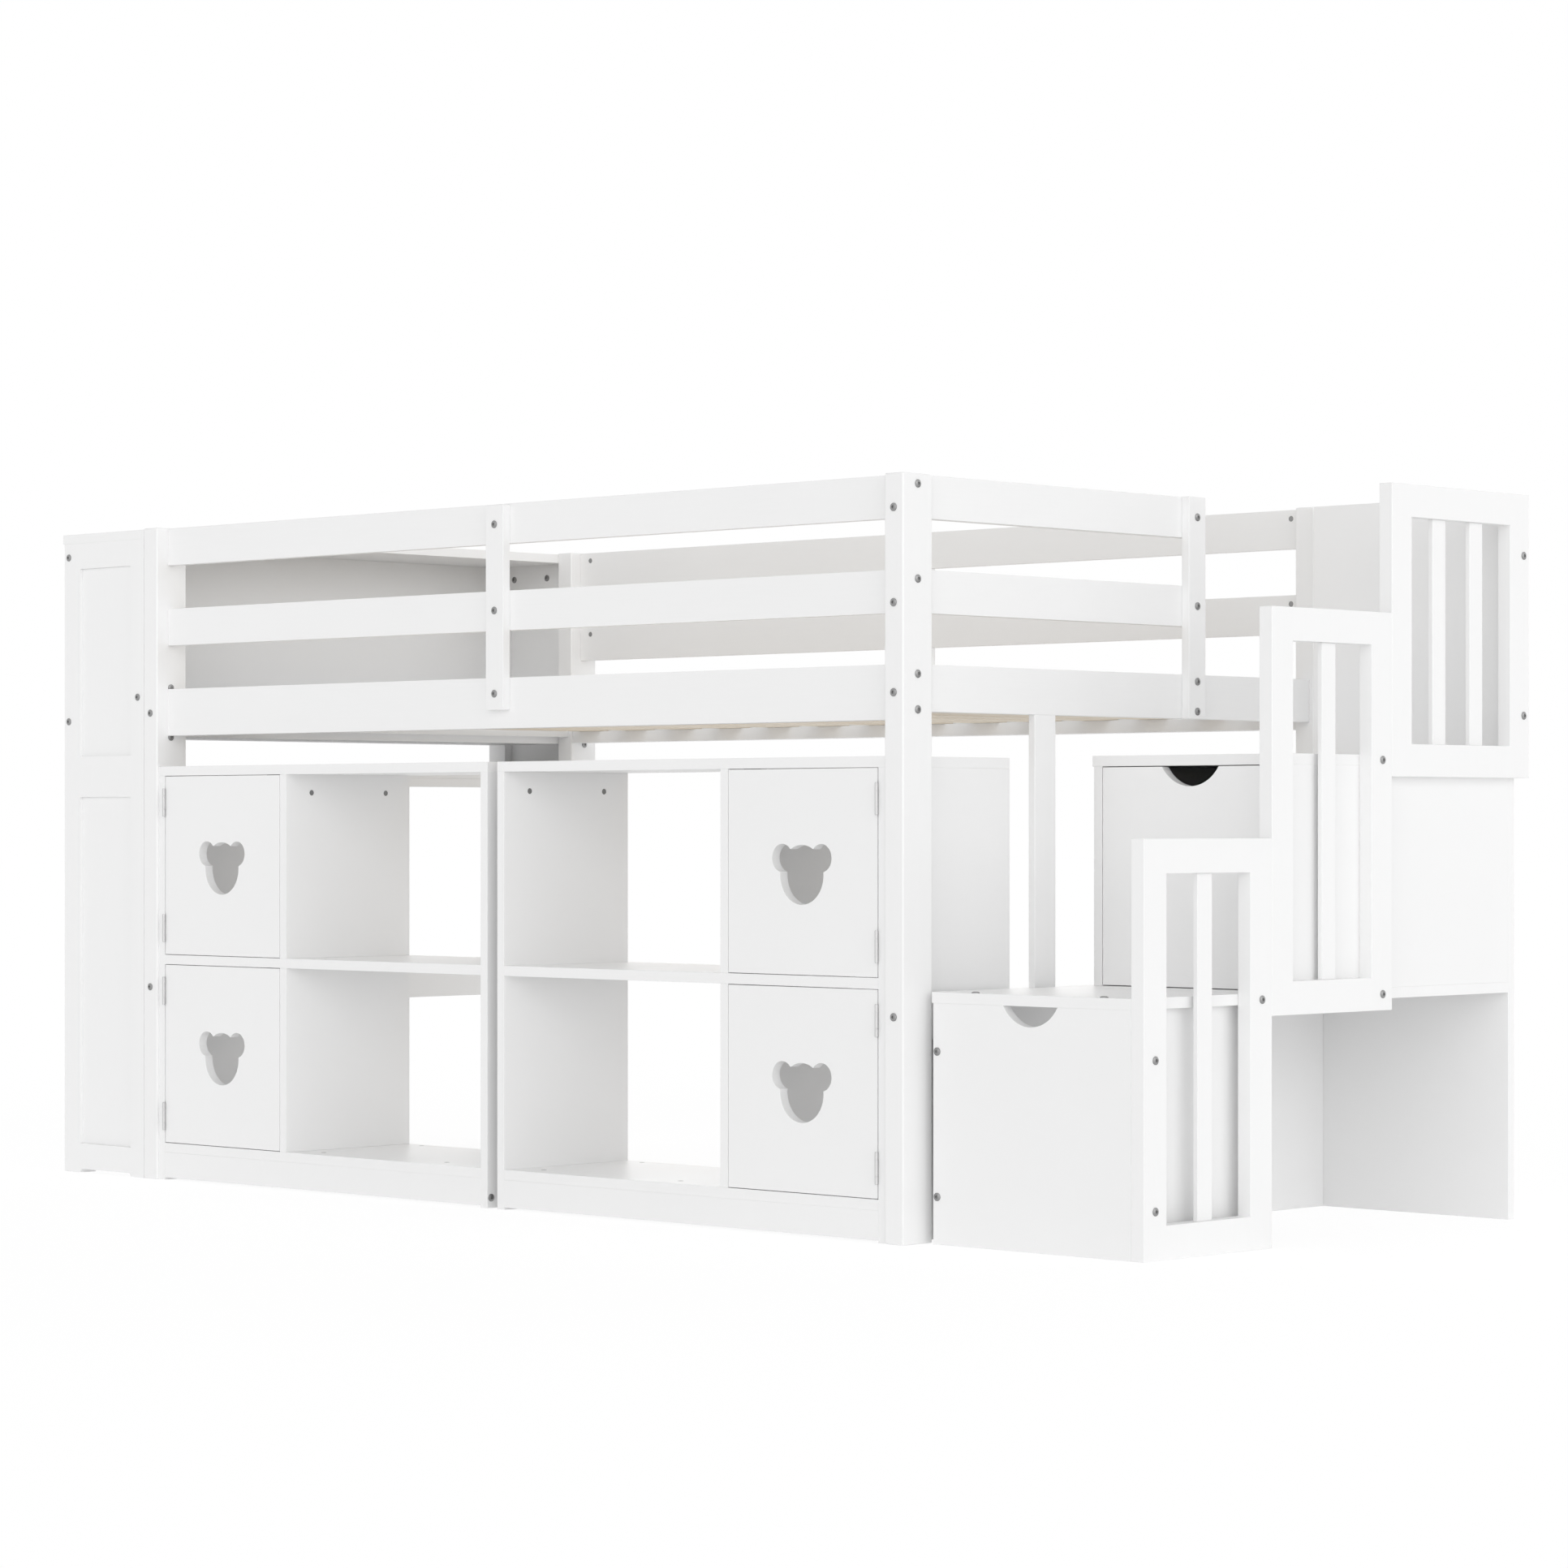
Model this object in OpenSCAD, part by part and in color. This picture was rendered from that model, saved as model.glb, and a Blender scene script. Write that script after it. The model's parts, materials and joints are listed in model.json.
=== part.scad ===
// Low loft bed: railed bed deck over two bookcases, storage stairs at the right
// end and a headboard shelf with a pull-out desk at the left end. Millimetres,
// +Z up. X runs along the bed towards the stairs, Y runs from front to back.
// The origin is the middle of the footprint, on the floor.

/* [Bed] */
// Clear length between the left and right posts
bed_l = 1900; // [1600:10:2300]
// Width of the bed over the posts
bed_w = 1165; // [960:5:1400]
// Height of the posts
post_h = 1253; // [1210:1:1500]
// Post size along the bed
post_w = 41; // [32:1:60]
// Post size across the bed
post_d = 71; // [56:1:90]
// Thickness of the side rails and the guard rails beside them
rail_t = 18; // [14:1:26]
// Height of a guard rail
guard_h = 71; // [50:1:80]
// Height of a side rail
side_h = 90; // [80:1:110]
// Underside of the side rails above the floor
deck_z = 853; // [840:1:900]
// Underside of the middle guard rails above the floor
guard_mid_z = 1026.5; // [1010:0.5:1060]
// Top of the upper guard rails below the post tops
guard_drop = 1; // [0:0.5:10]
// Thickness of the end rails and stretchers
end_t = 22; // [18:1:30]
// Height of the end rails and stretchers
end_h = 77; // [60:1:85]
// Underside of the stretchers above the floor
stretcher_z = 331; // [280:1:380]
// Width of a baluster
baluster_w = 46; // [36:1:60]
// Thickness of a baluster
baluster_t = 16.5; // [12:0.5:22]
// Near edge of the end baluster from the bed front
baluster_y = 729; // [560:1:760]
// Width of the support leg under the end rail
leg_w = 53.5; // [40:0.5:70]
// Thickness of the support leg
leg_t = 14; // [12:1:22]
// Near edge of the support leg from the bed front
leg_y = 338; // [250:1:450]
// Number of bed slats
slat_count = 14; // [10:1:16]
// Width of a bed slat
slat_w = 68; // [50:1:90]
// Thickness of a bed slat
slat_t = 16; // [12:1:22]
// Width and height of the ledgers that carry the slats
ledger = 24; // [16:1:26]

/* [Bookcases] */
// Thickness of the panel boards
board = 18; // [15:0.5:22]
// Depth of a bookcase
case_d = 305; // [250:1:340]
// Height of a bookcase
case_h = 793.5; // [700:0.5:830]
// Front of the bookcases behind the post fronts
case_inset = 5; // [2:1:20]
// Gap between the two bookcases
case_gap = 26; // [12:1:60]
// Top of the plinth above the floor
plinth_h = 53; // [30:1:90]
// Gap under the plinth
plinth_lift = 4; // [1:1:10]
// Top of the middle shelf above the floor
shelf_z = 432; // [400:1:470]
// Width of a door
door_w = 341; // [300:1:400]
// Gap on the hinge side of a door
hinge_gap = 2.2; // [2:0.1:4]
// Gap on the other sides of a door
door_gap = 1.2; // [1:0.1:4]
// Radius of the head of the bear cut-out
bear_r = 49.5; // [35:0.5:60]
// Radius of its ears
bear_ear_r = 23.5; // [15:0.5:30]

/* [Stairs] */
// Gap between the bed posts and the stairs
stair_gap = 17; // [12:1:40]
// Width of the stairs without the railing
stair_w = 414.5; // [350:0.5:520]
// Front of the stairs behind the post fronts
stair_inset = 54; // [30:1:90]
// Top of the first tread above the floor
tread_z = 410; // [370:1:430]
// Depth of the first tread
tread_d = 406; // [360:1:420]
// Top of the landing above the floor
landing_z = 798; // [740:1:830]
// Thickness of the railing frames
railing_t = 26; // [20:1:36]
// Length of the two lower railing frames
railing_l = 324.5; // [300:0.5:340]
// Height of the two lower railing frames
railing_h = 660; // [600:1:700]
// Width of the stiles of the railing frames
stile_w = 56; // [40:1:60]
// Height of the rails of the railing frames
frame_rail_h = 54.5; // [40:0.5:70]
// Width of a railing slat
baffle_w = 37; // [25:1:42]
// Thickness of a railing slat
baffle_t = 9; // [6:1:14]
// Finger notch in the front panel, width
step_notch_w = 114; // [80:1:140]
// Finger notch in the drawer front, width
drawer_notch_w = 120; // [80:1:140]
// Depth of both finger notches
notch_h = 33; // [20:1:45]
// Gap round the drawer front
drawer_gap = 1.5; // [1:0.1:4]
// Height of the sides of the drawer box
drawer_side_h = 265; // [150:1:290]
// Space between the drawer box and the panel at the back of the stairs
drawer_space = 58; // [20:1:300]

/* [End unit] */
// Depth of the end unit beyond the bed posts
unit_w = 251; // [220:1:400]
// Thickness of its framed side panels
unit_t = 38; // [30:1:45]
// Width of the outer stile of a side panel
unit_stile = 50; // [36:1:70]
// Width of the inner stile of a side panel
unit_inner_stile = 41; // [36:1:70]
// Height of the rails of a side panel
unit_rail_h = 50; // [40:1:70]
// Height of the middle rail of a side panel
unit_mid_h = 80; // [50:1:100]
// Underside of that middle rail above the floor
unit_mid_z = 735.5; // [600:0.5:740]
// Thickness of the sunk panels
sunk_t = 12; // [8:1:16]
// Depth of the sunk panels below the frame
sunk_depth = 6.5; // [4:0.5:10]
// Overhang of the top board
top_overhang = 5; // [2:1:20]
// Top of the desk board above the floor
desk_z = 795; // [740:1:810]

/* [Hardware] */
// Diameter of a bolt head
head_d = 13.5; // [10:0.5:18]
// Height of a bolt head
head_h = 2.5; // [1.5:0.5:4]
// Width across the corners of the hexagon socket in a bolt head
socket_d = 5.5; // [3:0.5:6]
// Diameter of a bolt shank
shank_d = 6; // [5:0.5:8]
// Diameter of a barrel nut
nut_d = 10; // [9:0.5:14]
// Length of a hinge
hinge_l = 52; // [40:1:70]
// Diameter of a hinge barrel
barrel_d = 6; // [5:0.5:8]
// Diameter of a hinge pin
pin_d = 3; // [2:0.5:4]
// Middle of a hinge from the end of its door
hinge_inset = 50; // [40:1:90]
// Thickness of a drawer or desk runner pair
runner_t = 13; // [10:0.5:16]
// Height of a runner
runner_h = 35; // [25:1:45]

/* [Hidden] */
$fn = 64;
fit = 0.25;
overcut = 1;
white = "#f2f2f1";
pine = "#dcc7a4";
steel = "#8a8d90";
zinc = "#c3c6c8";

// Reference lines: x = 0 is the outer face of the right posts, y = 0 the
// front face of the front posts.
right_in = -post_w;
left_in = right_in - bed_l;
left_out = left_in - post_w;
mid_x = (left_in + right_in) / 2;
back_in = bed_w - post_d;
front_in = post_d;
post_mid_y = post_d / 2;
right_mid = -post_w / 2;
left_mid = left_in - post_w / 2;

// Rails
guard_top_z = post_h - guard_drop - guard_h;
rail_y = post_mid_y - rail_t / 2;
side_top = deck_z + side_h;
end_z = side_top - end_h;
ledger_top = deck_z + ledger;
baluster_lap = 57.5;
baluster_drop = 3;
baluster_low = side_top - baluster_lap;
baluster_high = post_h - guard_drop - baluster_drop;
end_baluster_y = baluster_y + baluster_w / 2;

// Bookcases
case_w = (bed_l - case_gap) / 2;
case_y = case_inset;
case_back = case_y + case_d;
case_top_z = case_h - board;
floor_z = plinth_h + board;
shelf_low = shelf_z - board;
bay_door = door_w + hinge_gap + door_gap;
divider_at = board + bay_door;
bay_open = case_w - 3 * board - bay_door;
left_case_x = left_in;
right_case_x = right_in - case_w;
lower_door = [floor_z + door_gap, shelf_low - door_gap];
upper_door = [shelf_z + door_gap, case_top_z - door_gap];
cam_drop = 34;
case_nut_z = case_top_z - cam_drop;

// Hinges: the pin stands in front of the doors, over the gap
pin_y = case_y - barrel_d / 2 - fit;
leaf_t = (hinge_gap - fit) / 2;
leaf_back = 3;
leaf_d = board - leaf_back;
knuckle_ends = [0, 0.25, 0.75, 1];
knuckle_gap = 0.3;

// Stairs
stair_x = stair_gap;
stair_x1 = stair_x + stair_w;
railing_x1 = stair_x1 + railing_t;
stair_y = stair_inset;
landing_y = stair_y + tread_d;
stair_back = back_in;
panel_y = stair_back - board;
tread_low = tread_z - board;
landing_low = landing_z - board;
tread_lip = 3;
cleat_t = 17.5;
cleat_w = 24;
step_mid = stair_x + stair_w / 2;
railing_set = 0.5;
railing_past = 7;
railing_top_drop = 2.5;
railing_y0 = stair_y + railing_set;
railing_y1 = railing_y0 + railing_l;
railing_y2 = railing_y1 + railing_l;
railing_y3 = stair_back + railing_past;
railing_drop = 36;
railing_mid_z = tread_z - railing_drop;
railing_up_z = landing_z - railing_drop;
railing_up_h = post_h - railing_top_drop - railing_up_z;
baffle_x = stair_x1 + (railing_t - baffle_t) / 2;
spacer_w = 40;
spacer_lift = 14;
spacer_z = stretcher_z + spacer_lift;

// Drawer
bay_x0 = stair_x + board;
bay_x1 = stair_x1 - board;
drawer_t = 12;
drawer_bottom_t = 5;
drawer_x0 = bay_x0 + runner_t;
drawer_x1 = bay_x1 - runner_t;
drawer_z0 = tread_z + drawer_gap;
drawer_z1 = landing_low - drawer_gap;
drawer_lift = 13;
floor_lift = 12;
drawer_low = drawer_z0 + drawer_lift;
drawer_back = panel_y - drawer_space;
drawer_l = drawer_back - landing_y - board;
drawer_floor_z = drawer_low + floor_lift;
drawer_runner_z = drawer_low + drawer_side_h / 2;
runner_wall = 1.5;
runner_lip = 8;
runner_fit = 0.4;
runner_set = 2;

// End unit
unit_x0 = left_out - unit_w;
unit_drop = 2;
unit_top_z = post_h - unit_drop - board;
unit_far = bed_w - unit_t;
opening_x0 = unit_x0 + unit_stile;
opening_x1 = left_out - unit_inner_stile;
foot_h = 7;
foot_rail_h = unit_rail_h + foot_h;
niche_set = 5;
niche_x = unit_x0 + niche_set;
niche_z = deck_z - 1;
niche_bar_h = 34;
niche_bar_set = 10;
niche_bar_x = left_out - board - niche_bar_set;
niche_bar_lip = 2;
niche_bar_z = side_top + niche_bar_lip - niche_bar_h;
desk_set = 4;
desk_x0 = unit_x0 + desk_set;
desk_x1 = left_out - desk_set;
desk_low = desk_z - board;
desk_y0 = unit_t + runner_t;
desk_y1 = unit_far - runner_t;
top_x0 = unit_x0 - top_overhang;

// The whole model is centred on its footprint
centre = [-(top_x0 + railing_x1 + head_h) / 2, -bed_w / 2, 0];

// Directions in which a bolt points, as rotations of +Z
to_back = [-90, 0, 0];
to_front = [90, 0, 0];
to_left = [0, -90, 0];
to_right = [0, 90, 0];
to_floor = [180, 0, 0];

// Bolt lists: [seat of the head, direction, length]
guard_z = [guard_mid_z + guard_h / 2, guard_top_z + guard_h / 2];
side_mid = deck_z + side_h / 2;
stagger = 19.5;
side_pair = 29;
side_bolt_z = [guard_z[0] + stagger, guard_z[1] + stagger, side_mid - side_pair, side_mid + side_pair];
end_bolt_drop = 8;
end_bolt_z = [stretcher_z + end_h / 2, end_z + end_h / 2 - end_bolt_drop];
guard_end_bolt_z = [guard_z[0] - stagger, guard_z[1] - stagger];
sink = head_h + 0.5;
nut_in = 30;
long_bolt = post_w + nut_in + nut_d;
deep_bolt = post_d + 40;
join_out = 2.5;
join_wall = 1.5;
rail_mid_ys = [post_mid_y, bed_w - post_mid_y];

right_bolts = [for (y = rail_mid_ys, z = side_bolt_z) [[0, y, z], to_left, long_bolt]];
left_bolts = [for (y = rail_mid_ys, z = side_bolt_z) [[left_out + sink, y, z], to_right, long_bolt - sink]];
front_bolts = [
    for (x = [right_mid, left_mid], z = end_bolt_z) [[x, 0, z], to_back, deep_bolt],
    for (z = guard_end_bolt_z) [[right_mid, 0, z], to_back, deep_bolt]
];
back_bolts = [for (x = [right_mid, left_mid], z = end_bolt_z) [[x, bed_w, z], to_front, deep_bolt]];
unit_join_z = [deck_z - join_out, side_top + join_out];
unit_join_y = unit_t - shank_d / 2 - join_wall;
unit_join_ys = [unit_join_y, bed_w - unit_join_y];
unit_bolts = [for (y = unit_join_ys, z = unit_join_z) [[left_in, y, z], to_left, post_w + 30]];
baluster_bolts = [
    for (z = [guard_z[0], (guard_top_z + baluster_high) / 2, (baluster_low + side_top) / 2])
        [[mid_x, rail_y - baluster_t, z], to_back, baluster_t + 12]
];
end_face = right_mid + end_t / 2;
end_pair = 26;
end_baluster_bolts = [
    for (z = [guard_z[0], guard_z[1], end_z + end_h / 2 - end_pair, end_z + end_h / 2 + end_pair])
        [[end_face + baluster_t, end_baluster_y, z], to_left, baluster_t + 14]
];
bed_bolts = concat(
    right_bolts, left_bolts, front_bolts, back_bolts, unit_bolts, baluster_bolts, end_baluster_bolts
);

wood_bolt = 50;
step_bolt_z = [77.5, 313.5];
tread_bolt_x = [84, 353];
back_bolt_z = [landing_z + 71.5, post_h - 108];
stile_bolt = 26;
cleat_mid = railing_y0 + stile_w / 2;
railing_bolts = [
    for (z = step_bolt_z) [[railing_x1, cleat_mid, z], to_left, wood_bolt],
    for (y = [railing_y1, railing_y2])
        [[railing_x1, y - stile_bolt, tread_z - board / 2], to_left, wood_bolt],
    [[railing_x1, railing_y2 - stile_bolt, landing_z - board / 2], to_left, wood_bolt],
    for (z = back_bolt_z) [[railing_x1, panel_y + board / 2, z], to_left, wood_bolt]
];
step_bolts = [
    for (z = step_bolt_z) [[stair_x + board / 2, stair_y, z], to_back, wood_bolt],
    for (x = tread_bolt_x) [[stair_x + x, stair_y + board / 2, tread_z], to_floor, wood_bolt]
];
spacer_ys = [stair_y + 300, panel_y - 220];
spacer_bolts = [
    for (y = spacer_ys)
        [[stair_x + board, y + spacer_w / 2, spacer_z + spacer_w / 2], to_left, board + stair_gap + 20]
];
stair_bolts = concat(railing_bolts, step_bolts, spacer_bolts);

shelf_bar_x = niche_bar_x + board / 2;
unit_side_bolts = [
    for (side = [0, 1], b = [
        [niche_x + board / 2, unit_top_z - 27],
        [niche_x + board / 2, niche_z + 32],
        [shelf_bar_x, niche_bar_z + niche_bar_h / 2]
    ]) [[b[0], side * bed_w, b[1]], side == 0 ? to_back : to_front, unit_t + 24]
];
inner_bolt_z = unit_top_z - unit_rail_h / 2 - 3;
unit_inner_bolts = [
    for (side = [0, 1], x = [opening_x0 + 30, opening_x1 - 28])
        [[x, side == 0 ? unit_t : unit_far, inner_bolt_z], side == 0 ? to_front : to_back, 24]
];
end_bolts = concat(unit_side_bolts, unit_inner_bolts);

plinth_bolt_z = 18.5;
plinth_bolts = [
    [[left_case_x + case_w, case_y + board / 2, plinth_bolt_z], to_left, wood_bolt],
    [[right_case_x, case_y + board / 2, plinth_bolt_z], to_right, wood_bolt]
];

// Barrel nuts of the long rail bolts, seen on the inner faces of the rails
nut_xs = [left_in + nut_in, right_in - nut_in];
nut_l = rail_t / 2 + shank_d / 2 + 1;

// ---- Shared shapes ----

// A board between two opposite corners
module slab(lo, hi) {
    translate(lo) cube(hi - lo);
}

// Mirrors its children from the front half of the bed to the back half
module to_back_half() {
    translate([0, bed_w, 0]) mirror([0, 1, 0]) children();
}

// A button-head bolt: a domed rim round a flat top with a hexagon socket
module bolt(b) {
    rim = head_h / 2;
    flat_r = socket_d / 2 + 0.8;
    ball_z = (pow(head_d / 2, 2) + rim * rim - flat_r * flat_r - head_h * head_h) / (2 * (head_h - rim));
    ball = sqrt(pow(head_h + ball_z, 2) + flat_r * flat_r);
    translate(b[0]) rotate(b[1]) difference() {
        union() {
            intersection() {
                translate([0, 0, -head_h]) cylinder(h = head_h, d = head_d);
                translate([0, 0, ball_z]) sphere(r = ball);
            }
            cylinder(h = b[2], d = shank_d);
        }
        translate([0, 0, -head_h - overcut]) cylinder(h = head_h * 0.7 + overcut, d = socket_d, $fn = 6);
    }
}

// The holes that a list of bolts needs, a little longer and wider than the shanks
module bolt_holes(list) {
    for (b = list) translate(b[0]) rotate(b[1])
        translate([0, 0, -overcut]) cylinder(h = b[2] + 2 * overcut, d = shank_d + 2 * fit);
}

// Counterbores that sink the heads of the left rail bolts into the posts
module head_sinks() {
    for (b = left_bolts) translate([left_out - overcut, b[0][1], b[0][2]]) rotate(to_right)
        cylinder(h = sink + overcut, d = head_d + 2 * fit);
}

// A barrel nut standing across a rail, from the rail's inner face
module nut_at(x, z, grow) {
    translate([x, rail_y + rail_t + (grow > 0 ? overcut : 0), z]) rotate(to_front)
        cylinder(h = nut_l + (grow > 0 ? overcut + fit : 0), d = nut_d + 2 * grow);
}

module nuts(zs, grow = 0) {
    for (x = nut_xs, z = zs) nut_at(x, z, grow);
}

// ---- Bed ----

module post(x, y) {
    color(white) translate(centre) difference() {
        slab([x, y, 0], [x + post_w, y + post_d, post_h]);
        bolt_holes(bed_bolts);
        head_sinks();
    }
}

module post_front_left() { post(left_out, 0); }

module post_front_right() { post(right_in, 0); }

module post_back_left() { post(left_out, back_in); }

module post_back_right() { post(right_in, back_in); }

// A rail along the front of the bed, with its holes and nut seats
module long_rail(z, h, zs) {
    difference() {
        slab([left_in, rail_y, z], [right_in, rail_y + rail_t, z + h]);
        nuts(zs, fit);
        bolt_holes([for (b = concat(right_bolts, left_bolts)) if (b[0][1] < bed_w / 2) b]);
        bolt_holes(baluster_bolts);
    }
}

// The side rail's left end is relieved round the heads of the end unit's bolts
module side_rail() {
    difference() {
        long_rail(deck_z, side_h, [side_bolt_z[2], side_bolt_z[3]]);
        for (z = unit_join_z) translate([left_in - overcut, unit_join_y, z]) rotate(to_right)
            cylinder(h = head_h + fit + overcut, d = head_d + 2 * fit);
    }
}

module guard_pair() {
    long_rail(guard_mid_z, guard_h, [side_bolt_z[0]]);
    long_rail(guard_top_z, guard_h, [side_bolt_z[1]]);
}

module side_rails() {
    color(white) translate(centre) {
        side_rail();
        to_back_half() side_rail();
    }
}

module guard_rails_front() { color(white) translate(centre) guard_pair(); }

module guard_rails_back() { color(white) translate(centre) to_back_half() guard_pair(); }

module guard_rails_end() {
    baluster_cover = 2;
    far = baluster_y + baluster_w - baluster_cover;
    color(white) translate(centre) for (z = [guard_mid_z, guard_top_z]) difference() {
        slab([right_mid - end_t / 2, front_in, z], [end_face, far, z + guard_h]);
        bolt_holes(front_bolts);
        bolt_holes(end_baluster_bolts);
    }
}

module end_rails() {
    color(white) translate(centre) for (x = [left_mid, right_mid], z = [stretcher_z, end_z]) difference() {
        slab([x - end_t / 2, front_in, z], [x + end_t / 2, back_in, z + end_h]);
        bolt_holes(concat(front_bolts, back_bolts, end_baluster_bolts, spacer_bolts));
    }
}

module front_baluster() {
    difference() {
        slab([mid_x - baluster_w / 2, rail_y - baluster_t, baluster_low],
             [mid_x + baluster_w / 2, rail_y, baluster_high]);
        bolt_holes(baluster_bolts);
    }
}

module balusters() {
    color(white) translate(centre) {
        front_baluster();
        to_back_half() front_baluster();
        difference() {
            slab([end_face, baluster_y, end_z],
                 [end_face + baluster_t, baluster_y + baluster_w, post_h - guard_drop]);
            bolt_holes(end_baluster_bolts);
        }
    }
}

module support_leg() {
    color(white) translate(centre)
        slab([end_face - leg_t, leg_y, stretcher_z + end_h], [end_face, leg_y + leg_w, end_z]);
}

module slat_ledgers() {
    color(white) translate(centre) for (y = [rail_y + rail_t, bed_w - rail_y - rail_t - ledger])
        slab([left_in, y, deck_z], [right_in, y + ledger, ledger_top]);
}

module bed_slats() {
    end_space = 20;
    side_space = 2;
    pitch = (bed_l - slat_w - 2 * end_space) / (slat_count - 1);
    y = rail_y + rail_t + side_space;
    color(pine) translate(centre) for (i = [0 : slat_count - 1])
        slab([left_in + end_space + i * pitch, y, ledger_top],
             [left_in + end_space + i * pitch + slat_w, bed_w - y, ledger_top + slat_t]);
}

// Every joint bolt of the bed, stairs, bookcases and end unit, with the rail nuts
module bolts() {
    color(steel) translate(centre) {
        for (b = concat(bed_bolts, stair_bolts, end_bolts, plinth_bolts)) bolt(b);
        to_back_half() for (b = baluster_bolts) bolt(b);
        rail_nuts();
        to_back_half() rail_nuts();
    }
}

module rail_nuts() {
    difference() {
        nuts(side_bolt_z);
        bolt_holes([for (b = concat(right_bolts, left_bolts)) if (b[0][1] < bed_w / 2) b]);
    }
}

// ---- Bookcases ----

// Draws its children once for the left case and mirrored for the right one;
// children take the left case's outer face as x = 0
module both_cases() {
    color(white) translate(centre) {
        translate([left_case_x, 0, 0]) children();
        translate([right_in, 0, 0]) mirror([1, 0, 0]) children();
    }
}

module case_sides() {
    both_cases() for (x = [0, case_w - board]) difference() {
        slab([x, case_y, 0], [x + board, case_back, case_top_z]);
        translate([-left_case_x, 0, 0]) bolt_holes([plinth_bolts[0]]);
        if (x == case_w - board) side_cams(fit);
    }
}

module case_dividers() {
    both_cases() for (z = [[floor_z, shelf_low], [shelf_z, case_top_z]]) difference() {
        slab([divider_at, case_y, z[0]], [divider_at + board, case_back, z[1]]);
        divider_cams(fit);
    }
}

module case_tops() {
    both_cases() slab([0, case_y, case_top_z], [case_w, case_back, case_h]);
}

module case_shelves() {
    both_cases() slab([board, case_y, shelf_low], [case_w - board, case_back, shelf_z]);
}

module case_bottoms() {
    color(white) translate(centre) for (x = [left_case_x, right_case_x]) difference() {
        slab([x + board, case_y, plinth_h], [x + case_w - board, case_back, floor_z]);
        floor_cams(fit);
    }
}

module case_plinths() {
    both_cases() difference() {
        slab([board, case_y, plinth_lift], [case_w - board, case_y + board, plinth_h]);
        translate([-left_case_x, 0, 0]) bolt_holes([plinth_bolts[0]]);
    }
}

// Cam discs of the panel joints, flush in the boards; grow is the seat clearance
cam_d = 10;
cam_t = 11;
cam_ys = [case_y + 62, case_back - 60];
floor_cam_ys = [case_y + 45, case_back - 18];
floor_cam_x = 55;
floor_cam_ends = 195;

module cam(x, y, z, turn, grow) {
    translate([x, y, z]) rotate(turn) translate([0, 0, grow > 0 ? -overcut : 0])
        cylinder(h = cam_t + (grow > 0 ? overcut + fit : 0), d = cam_d + 2 * grow);
}

// Discs under the top board, in the bay-side faces of the left case's divider
module divider_cams(grow) {
    for (y = cam_ys) cam(divider_at + board, y, case_nut_z, to_left, grow);
}

// and in the bay-side faces of the inner side panels
module side_cams(grow) {
    for (y = cam_ys) cam(case_w - board, y, case_nut_z, to_right, grow);
}

// Discs in the floors of the open bays
module floor_cams(grow) {
    pitch = bay_open - floor_cam_ends;
    bays = [left_case_x + divider_at + board, right_case_x + board];
    for (x = bays, i = [0, 1], y = floor_cam_ys)
        cam(x + floor_cam_x + i * pitch, y, floor_z, to_floor, grow);
}

module case_cams() {
    both_cases() {
        divider_cams(0);
        side_cams(0);
    }
    color(steel) translate(centre) floor_cams(0);
}

// Bear head with two ears, cut right through a door
module bear_cut(x, z) {
    drop = 5;
    ear_in = 5;
    ear_up = bear_r / 2 + 3;
    translate([x, case_y - overcut, z - drop]) rotate(to_back) {
        cylinder(h = board + 2 * overcut, r = bear_r);
        for (side = [-1, 1]) translate([side * (bear_r - ear_in), -ear_up, 0])
            cylinder(h = board + 2 * overcut, r = bear_ear_r);
    }
}

// One door in the left case's place, hinged at its left edge
module door(span) {
    x = board + hinge_gap;
    difference() {
        slab([x, case_y, span[0]], [x + door_w, case_y + board, span[1]]);
        bear_cut(x + door_w / 2, (span[0] + span[1]) / 2);
    }
}

module in_left_case() { translate(centre) translate([left_case_x, 0, 0]) children(); }

module in_right_case() { translate(centre) translate([right_in, 0, 0]) mirror([1, 0, 0]) children(); }

module door_left_upper() { color(white) in_left_case() door(upper_door); }

module door_left_lower() { color(white) in_left_case() door(lower_door); }

module door_right_upper() { color(white) in_right_case() door(upper_door); }

module door_right_lower() { color(white) in_right_case() door(lower_door); }

// ---- Hinges ----

// Knuckle i of a hinge that starts at z
function knuckle_z(z, i) = z + hinge_l * knuckle_ends[i];
function hinge_starts(span) = [span[0] + hinge_inset - hinge_l / 2, span[1] - hinge_inset - hinge_l / 2];

// A leaf against the panel (door_side 0) or against the door (door_side 1),
// with every second knuckle of the barrel; the other knuckles are left free
module leaf(z, door_side) {
    x0 = board + (door_side == 1 ? leaf_t + fit : 0);
    pin_x = board + hinge_gap / 2;
    slab([x0, case_y, z], [x0 + leaf_t, case_y + leaf_d, z + hinge_l]);
    for (i = [door_side : 2 : len(knuckle_ends) - 2]) {
        z0 = knuckle_z(z, i) + knuckle_gap / 2;
        z1 = knuckle_z(z, i + 1) - knuckle_gap / 2;
        difference() {
            union() {
                translate([pin_x, pin_y, z0]) cylinder(h = z1 - z0, d = barrel_d);
                slab([x0, pin_y, z0], [x0 + leaf_t, case_y + 1, z1]);
            }
            translate([pin_x, pin_y, z0 - overcut])
                cylinder(h = z1 - z0 + 2 * overcut, d = pin_d + 0.1);
        }
    }
}

module hinge_pin(z) {
    cap = 1;
    translate([board + hinge_gap / 2, pin_y, z - cap]) {
        cylinder(h = hinge_l + 2 * cap, d = pin_d);
        cylinder(h = cap, d = barrel_d - 1);
        translate([0, 0, hinge_l + cap]) cylinder(h = cap, d = barrel_d - 1);
    }
}

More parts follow.
